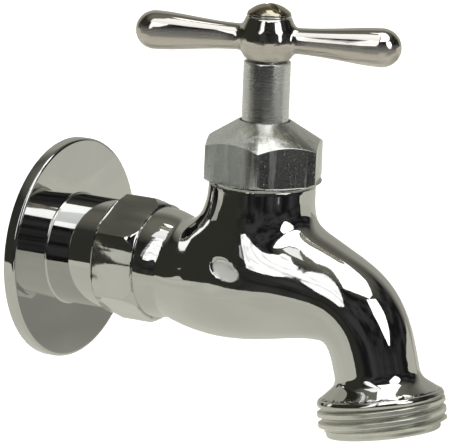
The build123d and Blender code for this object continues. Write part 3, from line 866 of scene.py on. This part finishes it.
def metal(name, colour, roughness, wave=0.0, grain=900, grain_depth=0.0, stain=0.06,
          pits=0.0, scratched=0.0, patch=None):
    """Plated metal: roughness from smudges, a slow wave from polishing, a directed grain and pits.

    grain is the scale of the grain along each axis, grain_depth its depth and wave the depth of
    the slow wave, in metres. pits and scratched are the roughness in the pits, and how far the
    scratches reach towards SCRATCH_ROUGHNESS.
    patch is (where, colour, roughness, metallic): a part of the surface with a finish of its own,
    or with painted light.
    """
    material, nodes = new_material(name)
    smudge = nodes.noise(SMUDGES, 4.0)
    streak = nodes.noise(grain)
    spread = roughness[1] - roughness[0]
    rough = nodes.between(smudge, *roughness)
    rough = nodes.math("ADD", rough, nodes.between(streak, 0.0, spread * 0.6))
    dull = tuple(c * (1 - stain) for c in colour)
    paint = nodes.mix(nodes.between(smudge, 0, 1, 0.35, 0.75), (*colour, 1), (*dull, 1))
    settings = {"Base Color": paint, "Roughness": rough, "Metallic": 1.0}
    if pits:
        pit = nodes.between(nodes.noise(PITS, 2.0), 0, 1, 0.66, 0.72)
        settings["Roughness"] = nodes.blend(pit, rough, pits)
    if scratched:
        line = nodes.between(nodes.noise(SCRATCHES), 0, scratched, 0.5, 0.75)
        settings["Roughness"] = nodes.blend(line, settings["Roughness"], SCRATCH_ROUGHNESS)
    if patch:
        where, patch_colour, patch_roughness, patch_metallic = patch
        share = where(nodes)
        settings["Base Color"] = nodes.mix(share, paint, (*patch_colour, 1))
        settings["Roughness"] = nodes.blend(share, settings["Roughness"], patch_roughness)
        settings["Metallic"] = nodes.between(share, 1.0, patch_metallic, 0.0, 1.0)
    normal = None
    if wave:
        slow = nodes.noise(WAVES, 3.5, distortion=0.4)
        normal = nodes.add("ShaderNodeBump", {"Height": slow, "Strength": 1.0, "Distance": wave})
    if grain_depth:
        bump = {"Height": streak, "Strength": 1.0, "Distance": grain_depth}
        if normal:
            bump["Normal"] = normal
        normal = nodes.add("ShaderNodeBump", bump)
    if normal:
        settings["Normal"] = normal
    shader = nodes.add("ShaderNodeBsdfPrincipled", settings)
    nodes.add("ShaderNodeOutputMaterial", {0: shader})
    return material


def soft_material(name, colour, speck, roughness, grain):
    """Rubber or fibre: a dull ground with a fine speck and a matching bump."""
    material, nodes = new_material(name)
    fleck = nodes.noise(grain, 5.0)
    paint = nodes.mix(nodes.between(fleck, 0, 1, 0.4, 0.7), (*colour, 1), (*speck, 1))
    rough = nodes.between(fleck, roughness - 0.06, roughness + 0.06)
    normal = nodes.add("ShaderNodeBump", {"Height": fleck, "Strength": 0.6, "Distance": 0.00004})
    settings = {"Base Color": paint, "Roughness": rough, "Normal": normal}
    shader = nodes.add("ShaderNodeBsdfPrincipled", settings)
    nodes.add("ShaderNodeOutputMaterial", {0: shader})
    return material


# Each of these gives a patch's share at every point: 0 outside it, 1 at most. The pad and the
# thread are finishes; the nut's flat, the stem's sides and the handle's underside are painted
# light.
def on_pad(nodes):
    """1 on the flat spot of the globe, 0 elsewhere."""
    centre = tuple(v * MM for v in PAD)
    half = [h * MM for h in PAD_HALF]
    inside = nodes.between(nodes.oval(centre, half, PAD_TILT), 1, 0, 0.88, 1.0)
    depth = nodes.add("ShaderNodeSeparateXYZ", {0: nodes.place()}, output=1)
    in_front = nodes.between(depth, 1, 0, -0.011, -0.010)
    return nodes.math("MULTIPLY", inside, in_front)


def across_view(nodes):
    """Distance to the right of the stem's axis, as the camera sees it, in metres."""
    across = (cos(CAMERA_AZIMUTH), sin(CAMERA_AZIMUTH), 0)
    along = nodes.vector("DOT_PRODUCT", nodes.place(), across)
    return nodes.math("SUBTRACT", along, STEM_X * MM * across[0])


def on_hazy_flat_painted_light(nodes):
    """Painted light on a hazier finish: strong on the nut's left flat, faint on the others."""
    return nodes.between(across_view(nodes), 0.40, 0.05, -0.0045, -0.0028)


def on_painted_side_light(nodes):
    """Painted light on the stem's sides: strong on its right side, fainter on its left and 0 in the
    middle.
    """
    across = across_view(nodes)
    right = nodes.between(across, 0.0, 0.55, 0.0010, 0.0024)
    left = nodes.between(across, 0.3, 0.0, -0.0036, -0.0024)
    return nodes.math("ADD", right, left)


def on_painted_underside(nodes):
    """Painted reflection, a warm and lighter tone: 1 on the handle's lower part, 0 above, with the
    edge higher on the arms than on the hub.
    """
    place = nodes.place()
    height = nodes.add("ShaderNodeSeparateXYZ", {0: place}, output=2)
    level = nodes.vector("MULTIPLY", place, (1, 1, 0), output=0)
    away = nodes.vector("DISTANCE", level, (STEM_X * MM, 0, 0))
    rise = nodes.between(away, 0.0, 0.0010, 0.007, 0.010)
    height = nodes.math("SUBTRACT", height, rise)
    return nodes.between(height, 1, 0, (BAR_Z - 1.6) * MM, (BAR_Z + 0.4) * MM)


def on_thread(nodes):
    """1 below the bead at the mouth, 0 above it."""
    along = nodes.vector("DOT_PRODUCT", nodes.place(), MOUTH_AXIS)
    start = (MOUTH_X * MOUTH_AXIS[0] + MOUTH_Z * MOUTH_AXIS[2] - 1.55) * MM
    return nodes.between(along, 0, 1, start - 0.0002, start)


BODY_CHROME = metal(
    "body_chrome", (0.66, 0.665, 0.645), (0.02, 0.05), wave=0.00005,
    patch=(on_pad, (0.60, 0.60, 0.565), 0.45, 0.15),
)
FLANGE_CHROME = metal("flange_chrome", (0.66, 0.665, 0.65), (0.02, 0.05), wave=0.00002)
# the handle's patch is a painted reflection: a warm, lighter tone on its lower part
HANDLE_CHROME = metal(
    "handle_chrome", (0.70, 0.68, 0.635), (0.03, 0.07), wave=0.00003,
    patch=(on_painted_underside, (0.53, 0.50, 0.43), 0.16, 0.55),
)
SCREW_CHROME = metal("screw_chrome", (0.43, 0.40, 0.30), (0.05, 0.11), wave=0.00002)
# the nut's patch is painted light on its left flat, with a hazier finish
NUT_PLATE = metal(
    "nut_plate", (0.60, 0.615, 0.59), (0.09, 0.20), grain=(1500, 1500, 40), grain_depth=0.000018,
    stain=0.25, pits=0.5, scratched=0.8, patch=(on_hazy_flat_painted_light, (0.50, 0.525, 0.48), 0.36, 0.2),
)
# the stem's patch is painted light, strongest on its right side and fainter on its left
STEM_PLATE = metal(
    "stem_plate", (0.84, 0.85, 0.82), (0.14, 0.28), grain=(25, 25, 5200), grain_depth=0.000025,
    stain=0.15, patch=(on_painted_side_light, (0.60, 0.61, 0.57), 0.3, 0.3),
)
COLLAR_CHROME = metal(
    "collar_chrome", (0.64, 0.64, 0.60), (0.03, 0.08), wave=0.00004,
    patch=(on_thread, (0.66, 0.67, 0.60), 0.24, 0.75),
)
BRASS = metal(
    "turned_brass", (0.78, 0.58, 0.30), (0.16, 0.30), grain=(120, 120, 4200),
    grain_depth=0.00001, stain=0.14,
)
RUBBER = soft_material("rubber", (0.022, 0.022, 0.024), (0.05, 0.05, 0.052), 0.55, 2600)
FIBRE = soft_material("red_fibre", (0.36, 0.09, 0.05), (0.52, 0.2, 0.13), 0.75, 1800)

# ---- pieces ----
# The lowest and the highest corner of the space that each skin is looked for in.
CASTING_SPACE = ((23, -15, -22.5), (91, 15, 22))
HANDLE_SPACE = ((-29.5, -7, 46.5), (29.5, 7, 56))
SCREW_SPACE = ((-5.2, -5.2, 46.8), (5.2, 5.2, 59))

points, faces = skin(casting_distance, *CASTING_SPACE, *(((0.55, 3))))
make_piece("valve_casting", points, faces, "valve_body", BODY_CHROME)
COLLAR_ANGLES = even_angles(240)
TURNED_PIECES = [
    ("inlet_hexagon", inlet_end, ABOUT_INLET, hexagon_angles(0.0), "valve_body", BODY_CHROME),
    ("hose_collar", hose_collar, ABOUT_MOUTH, COLLAR_ANGLES, "valve_body", COLLAR_CHROME),
    ("neck_collar", NECK_COLLAR, ABOUT_STEM, even_angles(160), "valve_body", BODY_CHROME),
    ("wall_flange_pressing", FLANGE, ABOUT_INLET, even_angles(240), "wall_flange", FLANGE_CHROME),
    ("cap_nut_hexagon", cap_nut, ABOUT_STEM, hexagon_angles(NUT_CORNER), "cap_nut", NUT_PLATE),
    ("stem_turned", stem, ABOUT_STEM, even_angles(160), "stem", STEM_PLATE),
]
for name, outline, place, angles, node, material in TURNED_PIECES:
    make_piece(name, *turned(outline, place, angles), node, material)

points, faces = skin(handle_distance, *HANDLE_SPACE, 0.35)
points = turned_about_stem(points, BAR_TURN)
make_piece("tee_handle_cast", points, faces, "tee_handle", HANDLE_CHROME)
ring = turned(WASHER_RING, ABOUT_STEM, even_angles(160))
make_piece("handle_washer_ring", *ring, "handle_washer", FLANGE_CHROME)
points, faces = skin(screw_distance, *SCREW_SPACE, 0.2)
points = turned_about_stem(points, 0)
make_piece("handle_screw_domed", points, faces, "handle_screw", SCREW_CHROME)

CAD_MATERIALS = {
    "bonnet": BRASS,
    "bonnet_gasket": FIBRE,
    "o_ring_lower": RUBBER,
    "o_ring_upper": RUBBER,
    "valve_seat": BRASS,
    "disc_holder": BRASS,
    "seat_washer": RUBBER,
    "washer_screw": BRASS,
}
for node, material in CAD_MATERIALS.items():
    for slot in frame["nodes"][node].material_slots:
        slot.material = material

# ---- camera ----
CAMERA_DISTANCE = 1.5
LENS_MM, SENSOR_MM = 575.1, 36.0
AIM = Vector((STEM_X * MM, 0, 0.015))
AIM_OFFSET = (-0.007752, -0.003026)    # where the aim sits from the picture's centre, reversed

FRONT = Vector((sin(CAMERA_AZIMUTH), -cos(CAMERA_AZIMUTH), 0))
RIGHT = Vector((cos(CAMERA_AZIMUTH), sin(CAMERA_AZIMUTH), 0))
back = FRONT * cos(CAMERA_ELEVATION) + Vector((0, 0, sin(CAMERA_ELEVATION)))
up = back.cross(RIGHT)
side = RIGHT * cos(CAMERA_ROLL) + up * sin(CAMERA_ROLL)
above = up * cos(CAMERA_ROLL) - RIGHT * sin(CAMERA_ROLL)
camera_data = bpy.data.cameras.new("camera")
camera_data.lens = LENS_MM
camera_data.sensor_width = SENSOR_MM
camera_data.clip_end = 100
camera = bpy.data.objects.new("camera", camera_data)
bpy.context.collection.objects.link(camera)
camera.matrix_world = Matrix.Translation(
    AIM + back * CAMERA_DISTANCE + side * AIM_OFFSET[0] + above * AIM_OFFSET[1]
) @ Matrix((side, above, back)).transposed().to_4x4()
bpy.context.scene.camera = camera
bpy.context.scene.view_settings.view_transform = "Standard"


# ---- studio ----
def studio_point(front, right, height):
    """A point this far in front of the stem and to its right, as the camera sees it, in metres."""
    return Vector((STEM_X * MM, 0, height)) + FRONT * front + RIGHT * right


def card(name, rows, colour, strength, patch=0.0, shade=None, grain=12):
    """A glowing card that shows only in reflections: quads between (left, right) pairs of points.

    patch is how much darker its cloudy parts are, grain the scale of the clouds, per metre.
    shade is (centre, radius) of a darker, soft-edged spot on it.
    """
    mesh = bpy.data.meshes.new(name)
    faces = [(2 * k, 2 * k + 1, 2 * k + 3, 2 * k + 2) for k in range(len(rows) - 1)]
    mesh.from_pydata([point for row in rows for point in row], [], faces)
    obj = bpy.data.objects.new(name, mesh)
    bpy.context.collection.objects.link(obj)
    obj.visible_camera = False
    obj.visible_diffuse = False
    obj.visible_shadow = False
    obj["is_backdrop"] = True
    material, nodes = new_material(name)
    cloud = nodes.noise(grain, 2.0)
    glow = nodes.between(cloud, strength * (1 - patch), strength)
    if shade:
        centre, radius = shade
        away = nodes.vector("DISTANCE", nodes.place(), centre)
        glow = nodes.math("MULTIPLY", glow, nodes.between(away, 0.45, 1.0, radius * 0.4, radius))
    shader = nodes.add("ShaderNodeEmission", {"Color": (*colour, 1), "Strength": glow})
    nodes.add("ShaderNodeOutputMaterial", {0: shader})
    mesh.materials.append(material)


def towards(azimuth, elevation, distance):
    """A studio point by its direction and distance from the middle of the globe.

    Angles are in degrees; the azimuth counts from the camera's, positive to the right.
    """
    turn, rise = radians(azimuth), radians(elevation)
    reach = distance * cos(rise)
    return studio_point(reach * cos(turn), reach * sin(turn), distance * sin(rise))


def dome_rows(distance, stations):
    """Card rows on a dome, from (elevation, left azimuth, right azimuth) stations."""
    return [
        (towards(left, rise, distance), towards(right, rise, distance))
        for rise, left, right in stations
    ]


def level_rows(height, stations):
    """Card rows on a level plane, from ((front, right), (front, right)) stations."""
    return [
        (studio_point(*left, height), studio_point(*right, height)) for left, right in stations
    ]


TABLE_Z = -0.060
WARM = (1.0, 0.98, 0.87)
WHITE = (1.0, 1.0, 1.0)
LIT = 2.2                     # brightness of the softboxes
RIM_LIT, HANDLE_LIT = 0.9, 1.6
LEFT_WALL_LIT, RIGHT_WALL_LIT, TABLE_LIT, TABLE_FRONT_LIT = 0.50, 0.60, 0.68, 0.64
FAR, NEAR, WALL = 3.0, 0.35, 0.5   # distances of the cards on a dome, in metres
CEILING_Z = 0.30
TABLE_CLOUDS = 0.12

# a long strip light stands to the left and leans over the object
STRIP = [
    (12, -41, -34),
    (18, -41, -28),
    (30, -40, -24),
    (45, -38, -22),
    (60, -38, -23),
    (75, -50, -27),
    (82, -95, -45),
]
card("left_softbox", dome_rows(FAR, STRIP), WHITE, LIT, 0.6, grain=4.5)
RIM = [(rise, left - 4, left) for rise, left, _ in STRIP[1:5]]
card("left_softbox_rim", dome_rows(FAR, RIM), WHITE, RIM_LIT, 1.0, grain=6)
RIGHT_STRIP = [(11, 45, 49), (18, 38, 57), (30, 31, 63), (45, 32, 62)]
card("right_softbox", dome_rows(NEAR, RIGHT_STRIP), WHITE, LIT)
OVERHEAD = [
    ((0.268, -0.053), (0.208, 0.187)),
    ((0.169, -0.022), (0.118, 0.222)),
    ((0.075, 0.004), (0.0, 0.173)),
    ((0.0, -0.030), (-0.07, 0.084)),
    ((-0.065, -0.037), (-0.074, 0.013)),
]
card("top_softbox", level_rows(CEILING_Z, OVERHEAD), WHITE, LIT)
card("handle_softbox", [
    (studio_point(0.045, -0.078, 0.138), studio_point(0.085, -0.012, 0.138)),
    (studio_point(0.012, -0.045, 0.160), studio_point(0.040, 0.006, 0.160)),
    (studio_point(-0.006, -0.030, 0.167), studio_point(0.012, 0.010, 0.167)),
], WHITE, HANDLE_LIT, 0.3)
card("left_wall", [
    (towards(-97, -7, WALL), towards(-118, -7, WALL)),
    (towards(-97, 4, WALL), towards(-116, 6, WALL)),
], WARM, LEFT_WALL_LIT)
card("right_wall", [
    (towards(90, -11, WALL), towards(128, -11, WALL)),
    (towards(90, 5, WALL), towards(128, 8, WALL)),
], WARM, RIGHT_WALL_LIT)
TABLE = [
    ((0.157, -0.129), (0.157, 0.06)),
    ((0.126, -0.33), (0.06, 0.30)),
    ((0.0, -0.42), (0.0, 0.45)),
    ((-0.15, -1.2), (-0.10, 0.8)),
    ((-1.5, -1.2), (-1.5, 1.2)),
]
SHADOW = (studio_point(-0.09, 0.16, TABLE_Z), 0.15)
card("table", level_rows(TABLE_Z, TABLE), WARM, TABLE_LIT, TABLE_CLOUDS, SHADOW)
TABLE_FRONT = [((0.33, -0.05), (0.33, 0.25)), ((0.157, -0.05), (0.157, 0.06))]
card("table_front", level_rows(TABLE_Z, TABLE_FRONT), WARM, TABLE_FRONT_LIT, TABLE_CLOUDS)

FLOOR_HALF, FLOOR_Z = 15.0, TABLE_Z - 0.001
FLOOR_CORNERS = [
    (x * FLOOR_HALF, y * FLOOR_HALF, FLOOR_Z) for x, y in ((-1, -1), (1, -1), (1, 1), (-1, 1))
]
floor_mesh = bpy.data.meshes.new("floor")
floor_mesh.from_pydata(FLOOR_CORNERS, [], [(0, 1, 2, 3)])
floor = bpy.data.objects.new("floor", floor_mesh)
bpy.context.collection.objects.link(floor)
floor.visible_glossy = False
floor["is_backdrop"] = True
floor_material, nodes = new_material("floor")
pale = nodes.mix(nodes.noise(40, 4.0), (0.90, 0.90, 0.89, 1), (0.93, 0.93, 0.93, 1))
shader = nodes.add("ShaderNodeBsdfPrincipled", {"Base Color": pale, "Roughness": 0.9})
nodes.add("ShaderNodeOutputMaterial", {0: shader})
floor_mesh.materials.append(floor_material)

sun_data = bpy.data.lights.new("overhead", "SUN")
sun_data.energy = 4.6
sun_data.angle = radians(60)
sun = bpy.data.objects.new("overhead", sun_data)
sun.visible_glossy = False
bpy.context.collection.objects.link(sun)

world = bpy.data.worlds.new("studio")
bpy.context.scene.world = world
world.use_nodes = True
nodes = Nodes(world.node_tree)
direction = nodes.add("ShaderNodeTexCoord", output=0)
ahead = nodes.vector("DOT_PRODUCT", direction, FRONT)
height = nodes.vector("DOT_PRODUCT", direction, (0, 0, 1))
sideways = nodes.vector("DOT_PRODUCT", direction, RIGHT)
behind = nodes.between(ahead, 1.0, 0.0, -0.75, -0.45)
left = nodes.between(sideways, 1.0, 0.0, -0.85, -0.45)
overhead = nodes.between(height, 0.0, 1.0, 0.70, 0.95)
# a dark room with dim clutter, a little olive on the left, pale behind and grey overhead
clutter = nodes.noise_at(nodes.vector("MULTIPLY", direction, (3, 3, 5), output=0), 4.0)
clutter = nodes.between(clutter, 0, 1, 0.42, 0.62)
room = nodes.mix(clutter, (0.012, 0.011, 0.012, 1), (0.052, 0.053, 0.053, 1))
room = nodes.mix(left, room, (0.036, 0.038, 0.029, 1))
room = nodes.mix(behind, room, (0.42, 0.41, 0.36, 1))
room = nodes.mix(overhead, room, (0.20, 0.195, 0.16, 1))
# the camera itself sees plain white
seen = nodes.add("ShaderNodeLightPath", output=0)
colour = nodes.mix(seen, room, (1, 1, 1, 1))
background = nodes.add("ShaderNodeBackground", {"Color": colour, "Strength": 1.0})
nodes.add("ShaderNodeOutputWorld", {0: background})

# ---- size ----
sizes = {"cad": CAD_BOX, "visual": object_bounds()}
{k: [[float(v) for v in corner] for corner in box] for k, box in sizes.items()}
